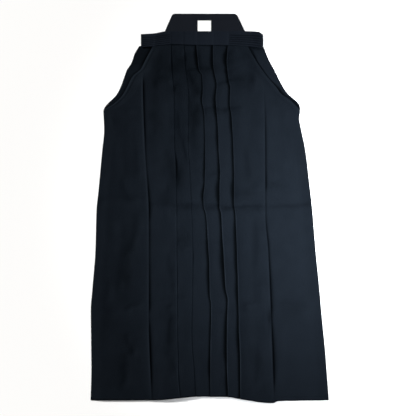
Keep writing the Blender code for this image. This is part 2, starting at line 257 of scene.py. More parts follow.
def columnsAt(drops):
    at = {name: tableAt(edges, "x", drops) for name, edges in pleats.items()}
    for name in sections[0]._fields[1:]:
        at[name] = tableAt(sections, name, drops)
    for side in ("left", "right"):
        at[side + "Crease"] = tableAt(legCreases, side, drops)
    for i, name in enumerate("deabc"):
        at[name] = at[name] + waver["depth"] * downNoise(drops, waver["size"], waver["seed"] + i)
    for name, (start, end, share) in between.items():
        at[name] = at[start] + share * (at[end] - at[start])
    for name, (start, offset) in beside.items():
        at[name] = at[start] + offset
    return at


# Cloth layers from the surface upwards, each between two columns.
layers = [
    ("backOuter", "backLeft", "backRight"),
    ("backReturn", "e", "backUnder"),
    ("backInner", "e", "backUnder"),
    ("backTie", "dUnder", "tieInnerLeft"),
    ("frontTieDown", "dUnder", "tieInnerLeft"),
    ("frontTieUp", "dUnder", "tieInnerLeft"),
    ("gusset", "gussetEdge", "aUnder"),
    ("frontInner", "eUnder", "aUnder"),
    ("eReturn", "eUnder", "e"),
    ("eOuter", "dUnder", "e"),
    ("dReturn", "dUnder", "d"),
    ("dOuter", "frontLeft", "d"),
    ("aReturn", "a", "aUnder"),
    ("aOuter", "a", "bUnder"),
    ("bReturn", "b", "bUnder"),
    ("bOuter", "b", "cUnder"),
    ("cReturn", "c", "cUnder"),
    ("cOuter", "c", "frontRight"),
]
order = {layer[0]: place for place, layer in enumerate(layers)}
# hard-pressed folds take less height
pressedFlat = dict.fromkeys(["frontInner", "eReturn", "eOuter", "dReturn"], 0.0008)
gussetDrops = (0.408, 0.500)
gussetSoft = 0.012
gussetPoints = (9, 11)
boardLow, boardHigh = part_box("back_board")
boardTop = boardHigh.z
# The band's ends come down beside the board
bandFall = {"depth": 0.0030, "left": 0.040, "right": 0.025}


def coverOf(left, right, x, ramp):
    return np.minimum(eased(1 - (left - x) / ramp), eased(1 - (x - right) / ramp))


def fallAt(x):
    left = eased(1 - (boardLow.x - x) / bandFall["left"])
    right = eased(1 - (x - boardHigh.x) / bandFall["right"])
    return bandFall["depth"] * (1 - np.minimum(left, right))


def stackedOver(x, drops, at, fromPlace, toPlace):
    # how much cloth lies between two places in the order; what is on top bridges the steps below it
    z = np.zeros_like(x)
    ramp = cloth["bridge"] if toPlace >= order["frontInner"] else cloth["ramp"]
    for name, left, right in layers[fromPlace:toPlace]:
        held = coverOf(at[left], at[right], x, ramp)
        if "Tie" in name:
            held = np.maximum(held, coverOf(at["tieInnerRight"], at["cUnder"], x, ramp))
        if name == "gusset":
            below = drops > gussetDrops[0] - gussetSoft
            held = held * (below & (drops < gussetDrops[1] + gussetSoft))
        z = z + pressedFlat.get(name, cloth["pitch"]) * held
    return z


def layerHeight(name, x, drops, at):
    place = order[name]
    first = order["frontInner"]
    leg = cloth["wall"] / 2 + stackedOver(x, drops, at, 0, place)
    fall = fallAt(x)
    if place >= first:
        band = cloth["bandBack"] + cloth["pitch"] - fall + stackedOver(x, drops, at, first, place)
    elif "Tie" in name:
        band = boardTop + cloth["tieWall"] + cloth["pitch"] * (place - order["backTie"]) - fall
    else:
        band = leg
    return band + (leg - band) * eased(drops / cloth["waistRun"])


# Soft relief of the front: (x, drop) at each end, how far it bows, height, and reach on its two sides.
# A negative height is a trough. The first reach is on the left of the way it runs.
wrinkles = table("x drop toX toDrop bow height before after", [
    # storage folds across both legs
    (-295, 402, -172, 398, 2, -1.1, 8, 12),
    (-160, 410, -84, 417, -3, -1.7, 8, 10),
    (-90, 417, -12, 419, 2, -3, 6, 14),
    (-12, 420, 72, 424, 0, -2.2, 7, 15),
    (62, 423, 142, 415, 1, -3, 5, 16),
    (148, 410, 266, 404, 1, 1.8, 14, 8),
    (-210, 402, -158, 394, 1, -1.6, 8, 10),
    (-300, 690, -222, 682, 3, -0.7, 7, 14),
    (-220, 684, -174, 664, 2, -1.4, 6, 10),
    (-148, 662, -46, 656, 2, -1, 8, 13),
    (6, 694, 50, 696, 0, -1, 5, 12),
    (86, 676, 140, 658, 3, -1.4, 6, 12),
    (186, 664, 262, 684, 4, -1.2, 9, 14),
    # below the band
    (-142, 103, -100, 87, 2, -3, 12, 11),
    (-134, 66, -104, 64, 2, -1.4, 6, 8),
    (-92, 16, -66, 18, 0, -2.2, 4, 7),
    (-92, 108, -68, 122, 2, -2.4, 7, 8),
    (-56, 64, -36, 98, 6, -3, 10, 7),
    (-52, 128, -44, 186, 12, -3, 8, 6),
    (-80, 168, -54, 300, 2, -2.8, 4, 6),
    (-42, 68, 8, 64, 1, -2.6, 5, 8),
    (20, 103, 78, 90, -2, -2.8, 5, 9),
    (72, 91, 116, 106, 2, -2.2, 6, 10),
    (118, 78, 108, 116, 1, -2.6, 7, 8),
    (52, 50, 104, 35, 2, -1.6, 4, 7),
    (52, 26, 72, 14, 1, -1.4, 4, 6),
    (52, 70, 90, 56, 1, -1.2, 4, 7),
    (-16, 168, 34, 170, 1, -3, 6, 9),
    (34, 169, 88, 165, -1, -2.6, 5, 9),
    # between the knee and the waist
    (-72, 106, -70, 250, 4, -2.2, 14, 12),
    (-104, 150, -100, 215, -4, 1.8, 12, 10),
    (-34, 120, -30, 290, -4, -1.6, 12, 12),
    (-126, 300, -112, 392, 4, 1.6, 8, 12),
    (-68, 300, -66, 392, -2, -2, 10, 10),
    (-142, 180, -138, 330, 2, -1.2, 14, 12),
    (-38, 320, -12, 366, 3, -1.8, 6, 8),
    (-40, 296, -6, 276, -6, -2, 6, 8),
    (-6, 342, 30, 328, 1, -1.8, 5, 9),
    (66, 388, 138, 352, -6, -2, 10, 10),
    (100, 268, 104, 350, 3, -1.4, 10, 10),
    (150, 362, 196, 346, -2, -1.8, 4, 8),
    (-226, 340, -188, 396, -5, -2.4, 6, 9),
    (-182, 270, -186, 345, 4, -1.6, 12, 12),
    (-232, 238, -222, 350, 4, 1.2, 12, 10),
    (172, 140, 178, 300, 3, 1.4, 18, 18),
    (-118, 268, -108, 330, 2, 1.2, 10, 10),
    (-152, 398, -108, 462, 2, 1.6, 6, 8),
    # lower legs
    (-178, 428, -212, 548, 6, -2, 10, 10),
    (-206, 526, -232, 632, -3, -2.4, 12, 12),
    (-232, 450, -234, 540, 4, 1.8, 10, 10),
    (-256, 600, -262, 662, 2, -1.2, 8, 10),
    (-212, 744, -190, 798, -3, -2.6, 6, 8),
    (-210, 790, -220, 884, -3, -2.6, 9, 9),
    (-106, 540, -86, 640, 4, -2.2, 8, 8),
    (-112, 672, -90, 720, 8, -2.6, 11, 8),
    (-94, 706, -98, 786, -2, -2.8, 12, 8),
    (-104, 788, -84, 850, 3, -2.4, 11, 8),
    (-82, 462, -56, 500, 2, 1.6, 6, 8),
    (-78, 500, -58, 530, -3, -2, 8, 8),
    (124, 450, 120, 600, 3, -1.8, 14, 10),
    (128, 604, 132, 660, 3, -1.8, 10, 10),
    (130, 772, 124, 876, 3, -2, 12, 12),
    (196, 470, 214, 640, -4, 0.7, 18, 16),
    (194, 700, 206, 860, 4, 0.7, 18, 16),
    # pulls from the foot of each opening
    (168, 150, 212, 136, 3, -1.4, 7, 6),
    (186, 186, 226, 160, 2, -1.4, 8, 6),
    (-238, 142, -196, 172, -3, -1.4, 7, 6),
    (-258, 180, -232, 226, 2, 1.2, 9, 7),
])
loft = {
    "height": 0.0030,
    "reach": 0.030,
    "near": 0.010,
    "least": -0.0004,
    "bandStart": 0.001,
    "bandRun": 0.022,
    "mottle": 0.0006,
    "fine": 0.0003,
    "wander": 0.0020,
    "uneven": 0.45,
}
wrinkled = {
    "strength": 1.35,
    "soften": 1.15,
    "power": 1.8,
    "past": 0.12,  # how far it runs on past its ends, as a share of its length
    "taper": 0.34,
    "broad": 0.012,
    "smoothRight": 0.15,
    "smooth": 0.25,
}

# Pressed leg creases: they rise from the left over some width,
# and a share of the height falls away sharply
creaseForms = table("drop left leftRise leftFall right rightRise rightFall", [
    (75, 0.6, 18, 0.10, 0, 16, 0.0),
    (100, 4.6, 17, 0.30, 0.4, 14, 0.0),
    (180, 5.2, 14, 0.35, 2.2, 14, 0.4),
    (250, 4.4, 11, 0.30, 2.8, 12, 0.5),
    (300, 3.2, 9, 0.35, 2.6, 11, 0.6),
    (355, 3, 8, 0.45, 2.8, 10, 0.7),
    (385, 3.4, 8, 0.60, 1.8, 10, 0.4),
    (425, 3.4, 8, 0.80, 2.6, 8, 0.4),
    (460, 2.8, 8, 0.60, 2.6, 8, 0.6),
    (560, 2.6, 8, 0.55, 3, 8, 0.7),
    (670, 3, 8, 0.60, 3.6, 9, 0.8),
    (695, 2, 9, 0.35, 2.6, 10, 0.6),
    (730, 3.2, 9, 0.70, 3.4, 11, 0.7),
    (800, 3.4, 9, 0.75, 4, 13, 0.9),
    (845, 3, 9, 0.65, 3.4, 13, 0.9),
    (885, 2.2, 10, 0.35, 1.4, 12, 0.3),
    (914, 1.4, 10, 0.20, 0.6, 12, 0.1),
], asIs=("leftFall", "rightFall"))
ridge = {
    "fall": 0.0012,
    "slow": 0.013,
    "steady": 0.9,
    "vary": 0.2,
    "varySize": 0.045,
    "varySeed": 5,
    "shadow": 0.0056,
    "shadowLeast": 0.3,
    "shadowGrow": 300,
    "shadowPower": 1.6,
    "line": 0.0010,
    "lineReach": 0.0009,
    # painted shadow beside a crease, and wear and painted highlight on its left
    "dark": 620,
    "darkest": 0.97,
    "wornLeft": 85,
    "wornRight": 35,
    "wornMost": 0.6,
    "wornInset": 0.0022,
    "wornReach": 0.0020,
}


def wrinkleHeight(w, x, drops, wander, uneven):
    run = np.array([w.toX - w.x, w.toDrop - w.drop])
    length = math.hypot(*run)
    way = run / length
    t = ((x - w.x) * way[0] + (drops - w.drop) * way[1]) / length
    narrow = w.before < wrinkled["broad"] and w.x < wrinkled["smoothRight"]
    rough = 1.0 if narrow else wrinkled["smooth"]
    side = (x - w.x) * way[1] - (drops - w.drop) * way[0] - w.bow * 4 * t * (1 - t) + wander * rough
    reach = np.where(side > 0, w.before, w.after) * wrinkled["soften"]
    begun = eased((t + wrinkled["past"]) / wrinkled["taper"])
    ended = eased((1 + wrinkled["past"] - t) / wrinkled["taper"])
    profile = bell(side, reach, wrinkled["power"])
    return wrinkled["strength"] * w.height * begun * ended * (1 + uneven * rough) * profile


def creaseForm(side, drops):
    vary = downNoise(drops, ridge["varySize"], ridge["varySeed"])
    height = tableAt(creaseForms, side, drops) * (ridge["steady"] + ridge["vary"] * vary)
    rise = tableAt(creaseForms, side + "Rise", drops)
    return height, rise, tableAt(creaseForms, side + "Fall", drops)


def creaseHeight(side, x, drops, at):
    s = x - at[side + "Crease"]
    height, rise, fall = creaseForm(side, drops)
    right = np.maximum(s, 0)
    fallen = fall * np.exp(-right / ridge["fall"]) + (1 - fall) * np.exp(-right / ridge["slow"])
    return height * np.where(s < 0, np.exp(np.minimum(s, 0) / rise), fallen)


def relief(x, drops, at):
    left = x - at["frontLeft"]
    right = at["frontRight"] - x
    well = inside(left, right, loft["reach"])
    near = inside(left, right, loft["near"])
    z = loft["height"] * well
    z = z + loft["mottle"] * well * softNoise(x, drops, *noises["mottle"])
    z = z + loft["fine"] * well * softNoise(x, drops, *noises["fine"])
    wander = loft["wander"] * softNoise(x, drops, *noises["wander"])
    uneven = loft["uneven"] * softNoise(x, drops, *noises["uneven"])
    for w in wrinkles:
        z = z + wrinkleHeight(w, x, drops, wander, uneven) * near
    for side in ("left", "right"):
        z = z + creaseHeight(side, x, drops, at) * well
    return z * eased((drops + loft["bandStart"]) / loft["bandRun"])


# How each pleat's fold lies: its lift all along, the rim at its edge, the painted shade beside it and
# its width, and the wear and painted highlight on its edge
Fold = namedtuple("Fold", "lift rise reach shade width worn")
foldLies = {
    "d": Fold(0.0000, 0.0002, 0.0032, 0.00, 0.0014, 0.40),
    "e": Fold(0.0000, 0.0000, 0.0030, 0.00, 0.0014, 0.15),
    "a": Fold(0.0006, 0.0005, 0.0060, 0.95, 0.0048, 0.45),
    "b": Fold(0.0008, 0.0005, 0.0060, 1.00, 0.0062, 0.45),
    "c": Fold(0.0008, 0.0005, 0.0060, 1.00, 0.0060, 0.40),
}
foldShape = {
    "start": 0.002,
    "liftStart": 0.004,
    "startRun": 0.012,
    "reach": 0.0075,
    "ends": 1.25,
    "vary": 0.4,
    "varySize": 0.06,
    "widthVary": 0.25,
    "widthSize": 0.04,
    "widthSeed": 50,
    "widthGrow": 1.8,
    "darken": 400,
    "edgePower": 4,
    # wear and painted highlight on the top of a fold's round, painted shade under it
    "roundWorn": 0.3,
    "roundDark": 0.6,
}

# Broad soft painted shadows where the cloth tips away, and painted highlights where the depth is below
# 0: (x, drop) of the middle, half widths, depth
shadows = table("x drop wide tall depth", [
    (-95, 50, 60, 55, 0.40),
    (-100, 100, 45, 22, 0.16),
    (-36, 85, 18, 34, 0.46),
    (-36, 160, 18, 50, 0.46),
    (-140, 170, 20, 90, 0.26),
    (-60, 240, 40, 90, 0.20),
    (-34, 250, 14, 70, 0.16),
    (6, 62, 16, 14, 0.28),
    (84, 88, 30, 18, 0.20),
    (111, 94, 10, 22, 0.10),
    (20, 168, 40, 7, 0.34),
    (96, 310, 12, 50, 0.14),
    (-84, 330, 24, 50, 0.28),
    (-108, 300, 40, 120, 0.10),
    (-190, 300, 10, 60, 0.16),
    (-208, 394, 22, 10, 0.22),
    (-100, 400, 26, 20, 0.18),
    (-50, 419, 30, 8, 0.26),
    (30, 422, 50, 6, 0.28),
    (108, 419, 36, 6, 0.22),
    (200, 413, 40, 7, 0.20),
    (252, 408, 26, 6, 0.20),
    (205, 399, 45, 6, -0.14),
    (96, 380, 22, 7, 0.20),
    (172, 358, 18, 7, 0.26),
    (166, 825, 3, 34, 0.70),
    (155, 695, 5, 24, 0.40),
    (100, 680, 30, 8, 0.16),
    (176, 560, 10, 100, -0.12),
    (-188, 100, 6, 40, -0.30),
    (-183, 170, 6, 50, -0.42),
    (-177, 250, 5, 60, -0.42),
    (-170, 330, 4, 40, -0.32),
    (146, 250, 4, 60, -0.20),
    (-196, 480, 10, 50, 0.20),
    (-218, 580, 14, 50, 0.30),
    (-96, 580, 10, 60, 0.22),
    (-66, 500, 12, 24, 0.22),
    (-100, 730, 18, 60, 0.26),
    (-210, 555, 9, 45, 0.30),
    (-225, 625, 20, 30, 0.16),
    (-262, 700, 14, 30, 0.20),
    (-96, 820, 12, 40, 0.14),
    (-200, 770, 10, 30, 0.24),
    (-214, 840, 10, 46, 0.26),
    (120, 520, 12, 70, 0.14),
    (127, 820, 14, 50, 0.16),
    (215, 675, 26, 18, 0.16),
    (255, 300, 14, 100, 0.14),
    (288, 600, 8, 160, 0.12),
], asIs=("depth",))
shadowRagged = 0.5
# wear and painted highlight along the folded edges of the pleats
edgeWearAndHighlight = {
    "reach": 0.0016,
    "from": 0.40,  # the edges are paler from the knee down
    "run": 0.05,
    "above": 0.35,
    "steady": 0.75,
    "patchy": 0.5,
    "patchSize": 0.03,
    "patchSeed": 70,
}

# Where a fold stands further open: (pleat, from drop, to drop, extra lift)
openings = table("pleat drop toDrop lift", [
    ("c", 4, 62, 3),
    ("c", 58, 74, 1.2),
    ("a", -4, 74, 2.8),
    ("a", 110, 150, 0.6),
    ("b", 98, 200, 1.2),
    ("b", 20, 70, 0.6),
    ("d", 18, 70, 1.2),
    ("e", 12, 50, 1.2),
    ("d", 258, 378, 2.4),
    ("a", 352, 412, 1.8),
    ("b", 345, 412, 2.2),
    ("c", 340, 405, 1.8),
    ("a", 440, 680, 1.6),
    ("b", 450, 690, 2),
    ("c", 440, 700, 1.4),
    ("b", 700, 850, 1.2),
    ("c", 690, 900, 1),
    ("a", 680, 905, 0.8),
    ("e", 518, 580, 1.1),
    ("d", 560, 650, 0.7),
], asIs=("pleat",))


def foldLift(pleat, drops):
    vary = downNoise(drops, foldShape["varySize"], ord(pleat))
    lift = foldLies[pleat].lift * (1 + foldShape["vary"] * vary)
    for gap in openings:
        if gap.pleat == pleat:
            middle = (gap.drop + gap.toDrop) / 2
            half = (gap.toDrop - gap.drop) / 2
            lift = lift + gap.lift * eased(foldShape["ends"] * (1 - np.abs(drops - middle) / half))
    return lift * eased((drops + foldShape["liftStart"]) / foldShape["startRun"])


def spread(steps, ends=0.6):
    # shares from 0 to 1, closer together at both ends
    t = np.linspace(0, 1, steps + 1)
    return (1 - ends) * t + ends * (1 - np.cos(np.pi * t)) / 2


def named(name):
    piece = bpy.context.active_object
    piece.name = name
    piece.data.name = name
    return piece, piece.data


def finished(piece):
    bpy.ops.object.shade_smooth()
    bpy.ops.object.select_all(action="DESELECT")
    return piece


def clothSheet(name, x, y, z, shade, wall):
    # a grid of cloth with its points on the given rows; its UV map holds the flat cloth in metres
    rows, count = x.shape
    points = np.stack([x, y, z], -1)
    along = np.linalg.norm(np.diff(points, axis=1), axis=-1)
    u = np.concatenate([np.zeros((rows, 1)), np.cumsum(along, axis=1)], axis=1)
    u = u - u[:, count // 2][:, None]
    down = np.linalg.norm(np.diff(points, axis=0), axis=-1).mean(axis=1)
    v = np.broadcast_to(np.concatenate([[0], np.cumsum(down)])[:, None], x.shape)
    bpy.ops.mesh.primitive_grid_add(x_subdivisions=count - 1, y_subdivisions=rows - 1, size=1)
    piece, mesh = named(name)
    mesh.vertices.foreach_set("co", points.astype(np.float32).ravel())
    corners = np.zeros(len(mesh.loops), np.int32)
    mesh.loops.foreach_get("vertex_index", corners)
    flat = np.stack([u.ravel()[corners], v.ravel()[corners]], -1)
    mesh.uv_layers[0].data.foreach_set("uv", flat.astype(np.float32).ravel())
    # the attribute holds painted shade above 0, and wear with painted highlight below 0
    tone = mesh.attributes.new("crease", "FLOAT", "POINT")
    tone.data.foreach_set("value", shade.astype(np.float32).ravel())
    mesh.update()
    if wall:
        solid = piece.modifiers.new("wall", "SOLIDIFY")
        solid.thickness = wall
        solid.offset = 0
        bpy.ops.object.modifier_apply(modifier="wall")
    return finished(piece)


# Panels: each is one length of cloth that folds to and fro.
# A run is (layer, visible edge, columns, steps).
slit = {
    "start": 0.010,
    "startRun": 0.020,
    "foot": 0.150,
    "footRun": 0.03,
    "footGap": 0.0001,
    "footReach": 0.004,
    "leftCurl": 0.0012,
    "roll": 0.016,
    "rightCurl": 0.0010,
    "reach": 0.0040,
    "stitchInset": 0.009,
    "stitchDepth": 0.0004,
    "stitchHalf": 0.0012,
}
slitShade = {
    "top": 0.004,
    "topRun": 0.010,
    "foot": 0.175,
    "footRun": 0.020,
    # painted shade along the stitching, and wear and painted highlight on the edge
    "stitch": 0.35,
    "stitchHalf": 0.0016,
    "worn": 0.45,
    "wornInset": 0.002,
    "wornHalf": 0.0032,
    # painted shade and shadow on the back beside the openings
    "dim": 0.36,
    "dimDrop": 0.040,
    "dimRun": 0.025,
    "dimFaded": 0.9,
    "darkest": 0.97,
    "dark": 0.95,
    "bulge": 0.6,
    "bulgeDrop": 0.026,
    "bulgeRun": 0.012,
    "widen": 1.6,
    "widenDrop": 0.085,
    "widenRun": 0.03,
    "near": 0.65,
    "leftGap": 0.0070,
    "rightGap": 0.0034,
    "under": 0.002,
    "backFoot": 0.190,
}
outerSides = {"dOuter": "left", "cOuter": "right"}
fineDrops = [0.0645, 0.098, 0.164, 0.418, 0.661, 0.681]
fineOffsets = (-0.008, -0.005, -0.002, 0.001, 0.004)
leastStep = 0.0018
edgeBeside = {  # visible cloth -> the folds that lie on it: (pleat, +1 where the fold is on its right)
    "frontInner": [("a", 1), ("e", -1)],
    "eOuter": [("d", -1)],
    "aOuter": [("b", 1)],
    "bOuter": [("c", 1)],
}


def clothRows(first, last, step):
    rows = list(np.linspace(first, last, int((last - first) / step) + 1))
    for drop in fineDrops:
        rows += [drop + offset for offset in fineOffsets]
    rows = sorted(row for row in rows if first <= row <= last)
    kept = [rows[0]]
    for row in rows[1:]:
        if row - kept[-1] > leastStep or row == last:
            kept.append(row)
    return np.array(kept)


def runColumns(columns, steps, at):
    parts = []
    for start, end, count in zip(columns, columns[1:], steps):
        x = at[start] + (at[end] - at[start]) * spread(count)[None, :]
        parts.append(x[:, 1:] if parts else x)
    return np.concatenate(parts, axis=1)


def slitHeight(side, x, drops, at):
    # the front's edge in the side opening, and below it the seam that holds it down on the back
    s = at["frontRight"] - x if side == "right" else x - at["frontLeft"]
    seam = eased((drops - slit["foot"]) / slit["footRun"])
    down = cloth["pitch"] - cloth["wall"] - slit["footGap"]
    down = down * (1 - eased(s / slit["footReach"])) * seam
    if side == "left":  # rolled under; the right one stands up a little
        curl = slit["leftCurl"] * (np.exp(-s / slit["roll"]) - np.exp(-s / slit["reach"]))
    else:
        curl = slit["rightCurl"] * np.exp(-s / slit["reach"])
    stitched = slit["stitchDepth"] * bell(s - slit["stitchInset"], slit["stitchHalf"])
    return (curl - stitched) * eased((drops - slit["start"]) / slit["startRun"]) * (1 - seam) - down


def runHeight(layer, edge, x, drops, at):
    z = layerHeight(layer, x, drops, at)
    if order[layer] >= order["frontInner"]:
        z = z + np.maximum(relief(x, drops, at), loft["least"])
    if edge:
        fold = foldLies[edge]
        away = np.abs(x - at[edge])
        below = eased((drops + foldShape["start"]) / foldShape["startRun"])
        z = z + foldLift(edge, drops) * np.exp(-away / foldShape["reach"]) * below
        if "Return" not in layer:
            z = z + fold.rise * np.exp(-away / fold.reach) * below
    if layer in outerSides:
        z = z + slitHeight(outerSides[layer], x, drops, at)
    return z


def broadShade(x, drops):
    shade = 0 * x
    for dim in shadows:
        away = ((x - dim.x) / dim.wide) ** 2 + ((drops - dim.drop) / dim.tall) ** 2
        shade = shade + dim.depth * np.exp(-away)
    return shade * (1 + shadowRagged * softNoise(x, drops, *noises["ragged"]))


def wearAndHighlightShare(pleat, drops):
    # how much paler a fold's edge is: wear and painted highlight
    patchy = downNoise(drops, edgeWearAndHighlight["patchSize"], edgeWearAndHighlight["patchSeed"] + ord(pleat))
    patchy = edgeWearAndHighlight["steady"] + edgeWearAndHighlight["patchy"] * patchy
    below = eased((drops - edgeWearAndHighlight["from"]) / edgeWearAndHighlight["run"])
    return foldLies[pleat].worn * patchy * (edgeWearAndHighlight["above"] + (1 - edgeWearAndHighlight["above"]) * below)


def creaseShade(side, shade, x, drops, at):
    # painted shadow along the right of a leg crease, and wear and painted highlight on its left
    s = x - at[side + "Crease"]
    height, _, fall = creaseForm(side, drops)
    reach = ridge["shadow"] * (ridge["shadowLeast"] + ridge["shadowGrow"] * height * fall)
    past = s - ridge["line"]
    soft = bell(np.maximum(past, 0), reach, ridge["shadowPower"])
    line = np.where(past < 0, bell(past, ridge["lineReach"]), soft)
    dark = np.clip(ridge["dark"] * height * fall, 0, ridge["darkest"])
    shade = np.maximum(shade, dark * line)
    paler = np.clip(ridge["worn" + side.title()] * height, 0, ridge["wornMost"])
    paler = paler * bell(s + ridge["wornInset"], ridge["wornReach"])
    return np.where(s < 0, shade - paler, shade)


def gapShade(pleat, way, x, drops, at):
    # painted shade beside a fold, and all over the cloth that it covers
    fold = foldLies[pleat]
    opened = foldLift(pleat, drops)
    s = way * (at[pleat] - x)
    vary = downNoise(drops, foldShape["widthSize"], foldShape["widthSeed"] + ord(pleat))
    reach = fold.width * (1 + foldShape["widthVary"] * vary) + foldShape["widthGrow"] * opened
    strength = np.clip(fold.shade + foldShape["darken"] * opened, 0, 1)
    return np.where(s < 0, 1.0, strength * bell(np.maximum(s, 0), reach, foldShape["edgePower"]))


def slitEdgeShade(x, drops, at):
    # painted shade along the stitching beside the left opening, and wear and painted highlight on its
    # edge
    s = x - at["frontLeft"]
    seam = eased((drops - slitShade["top"]) / slitShade["topRun"])
    seam = seam * eased((slitShade["foot"] - drops) / slitShade["footRun"])
    stitch = bell(s - slit["stitchInset"], slitShade["stitchHalf"])
    paler = bell(s - slitShade["wornInset"], slitShade["wornHalf"])
    return seam * (slitShade["stitch"] * stitch - slitShade["worn"] * paler)


def backShade(x, drops, at):
    # painted shade on the back where the front covers it, and painted shadow close beside the front's
    # edges
    left = at["frontLeft"] - x
    right = x - at["frontRight"]
    near = slitShade["near"] * bell(np.maximum(left, 0), slitShade["leftGap"])
    faded = slitShade["dimFaded"] * eased((drops - slitShade["dimDrop"]) / slitShade["dimRun"])
    dim = np.minimum(slitShade["dim"] * (1 - faded) + near, slitShade["darkest"])
    dim = dim * eased((left + slitShade["under"]) / slitShade["under"])
    wide = 1 + slitShade["bulge"] * bell(drops - slitShade["bulgeDrop"], slitShade["bulgeRun"])
    wide = wide + slitShade["widen"] * eased((drops - slitShade["widenDrop"]) / slitShade["widenRun"])
    dark = slitShade["dark"] * bell(np.maximum(right, 0), slitShade["rightGap"] * wide, 3)
    dark = dark * eased((right + slitShade["under"]) / slitShade["under"])
    covered = np.where(np.maximum(left, right) < 0, 1.0, 0.0)
    shade = np.maximum(covered, np.maximum(dim, dark))
    return shade * eased((slitShade["backFoot"] - drops) / slitShade["footRun"])


def runShade(layer, edge, x, drops, at):
    # above 0 is painted shade; below 0 the cloth is paler, with wear and painted highlight
    if layer == "backOuter":
        return backShade(x, drops, at)
    shade = broadShade(x, drops) if order[layer] >= order["frontInner"] else np.zeros_like(x)
    if layer in outerSides:
        shade = creaseShade(outerSides[layer], shade, x, drops, at)
    for pleat, way in edgeBeside.get(layer, []):
        shade = np.maximum(shade, gapShade(pleat, way, x, drops, at))
    if edge and "Return" not in layer:
        shade = shade - wearAndHighlightShare(edge, drops) * bell(x - at[edge], edgeWearAndHighlight["reach"])
    if layer == "dOuter":
        shade = shade + slitEdgeShade(x, drops, at)
    return np.clip(shade, -1, 1)


def clothY(xHem, drops):
    rise = tableAt(hemLine, "rise", xHem) * np.clip(drops / seamDrop, 0, 1) ** 2
    return waistY - drops + rise


roundFold = np.radians([-60, -30, 0, 30, 60])


def foldedPanel(name, runs, drops):
    drops = drops[:, None]
    at = columnsAt(drops)
    turn = roundFold[None, :]
    xs = []
    zs = []
    shades = []
    for layer, edge, columns, steps in runs:
        x = runColumns(columns, steps, at)
        level = drops + np.zeros_like(x)
        xs.append(x)
        zs.append(runHeight(layer, edge, x, level, at))
        shades.append(runShade(layer, edge, x, level, at))
    for number in range(len(runs) - 1, 0, -1):
        edge = runs[number][1]
        end = xs[number - 1][:, -1:]
        low = zs[number - 1][:, -1:]
        high = zs[number][:, :1]
        way = np.sign(end - xs[number - 1][:, -2:-1])
        radius = (high - low) / 2
        shade = 0 * turn + np.zeros_like(low)
        if edge:
            # painted shade on the lower side of the fold's round; wear and painted highlight on its
            # top
            dark = np.clip(foldShape["roundDark"] - np.sin(turn), 0, 1)
            shade = np.where(turn > foldShape["roundWorn"], -wearAndHighlightShare(edge, drops), dark)
        xs.insert(number, end + way * radius * np.cos(turn))
        zs.insert(number, (low + high) / 2 + radius * np.sin(turn))
        shades.insert(number, shade)
    x, z, shade = (np.concatenate(parts, axis=1) for parts in (xs, zs, shades))
    y = clothY(x[-1:, :], drops + np.zeros_like(x))
    return clothSheet(name, x, y, z, shade, cloth["wall"])


rowStep = {"front": 0.0058, "back": 0.0090}
frontRows = clothRows(-0.024, seamDrop, rowStep["front"])
backRows = clothRows(seamGap, seamDrop, rowStep["back"])

frontLeft = foldedPanel("frontPanelLeft", [
    ("frontInner", None, ["seamLeft", "a", "e", "eUnder"], [4, 18, 4]),
    ("eReturn", "e", ["eUnder", "e"], [5]),
    ("eOuter", "e", ["e", "d", "dUnder"], [16, 5]),
    ("dReturn", "d", ["dUnder", "d"], [5]),
    ("dOuter", "d", ["d", "leftCrease", "frontLeft"], [24, 34]),
], frontRows)
frontRight = foldedPanel("frontPanelRight", [
    ("frontInner", None, ["seamRight", "aUnder"], [4]),
    ("aReturn", "a", ["aUnder", "a"], [5]),
    ("aOuter", "a", ["a", "b", "bUnder"], [16, 5]),
    ("bReturn", "b", ["bUnder", "b"], [5]),
    ("bOuter", "b", ["b", "c", "cUnder"], [16, 5]),
    ("cReturn", "c", ["cUnder", "c"], [5]),
    ("cOuter", "c", ["c", "rightCrease", "frontRight"], [26, 34]),
], frontRows)
backLeft = foldedPanel("backPanelLeft", [
    ("backOuter", None, ["backLeft", "frontLeft", "dUnder", "backFoldLeft"], [8, 22, 16]),
    ("backReturn", None, ["backFoldLeft", "e"], [8]),
    ("backInner", None, ["e", "seamLeft"], [8]),
], backRows)
backRight = foldedPanel("backPanelRight", [
    ("backOuter", None, ["backRight", "frontRight", "cUnder", "backFoldRight"], [8, 22, 16]),
    ("backReturn", None, ["backFoldRight", "backUnder"], [8]),
    ("backInner", None, ["backUnder", "seamRight"], [8]),
], backRows)
print("panels made")


def crotchGusset():
    drops = np.linspace(*gussetDrops, gussetPoints[0])[:, None]
    at = columnsAt(drops)
    across = np.linspace(0, 1, gussetPoints[1])[None, :]
    x = at["gussetEdge"] + (at["aUnder"] - at["gussetEdge"]) * across
    level = drops + np.zeros_like(x)
    z = layerHeight("gusset", x, level, at)
    return clothSheet("crotchGusset", x, clothY(x, level), z, 0 * x, cloth["wall"])


gusset = crotchGusset()

# Ties, folded away inside the legs
tie = {
    "top": 0.0275,
    "middle": 0.014,
    "width": 0.030,
    "end": 0.820,
    "inset": 0.001,
    "mitre": 0.0015,
    "firstDrop": 0.012,
    "rows": 60,
    "short": 7,
    "across": 5,
}


def tieRow(layer, side, drop):
    drops = np.array([[float(drop)]])
    at = columnsAt(drops)
    row = []
    for edge in ("tieInner", "tieOuter"):
        x = at[edge + side]
        row.append((x[0, 0], waistY - drop, layerHeight(layer, x, drops, at)[0, 0]))
    return row


def tieSheet(name, rows):
    ends = np.array(rows)
    share = np.linspace(0, 1, tie["across"])[None, :, None]
    x, y, z = np.moveaxis(ends[:, :1] * (1 - share) + ends[:, 1:] * share, -1, 0)
    return clothSheet(name, x, y, z, 0 * x, cloth["tieWall"])


def backTie(side):
    drops = [-tie["top"], -tie["middle"], *np.linspace(0, tie["end"], tie["rows"])]
    return tieSheet("backTie" + side, [tieRow("backTie", side, drop) for drop in drops])


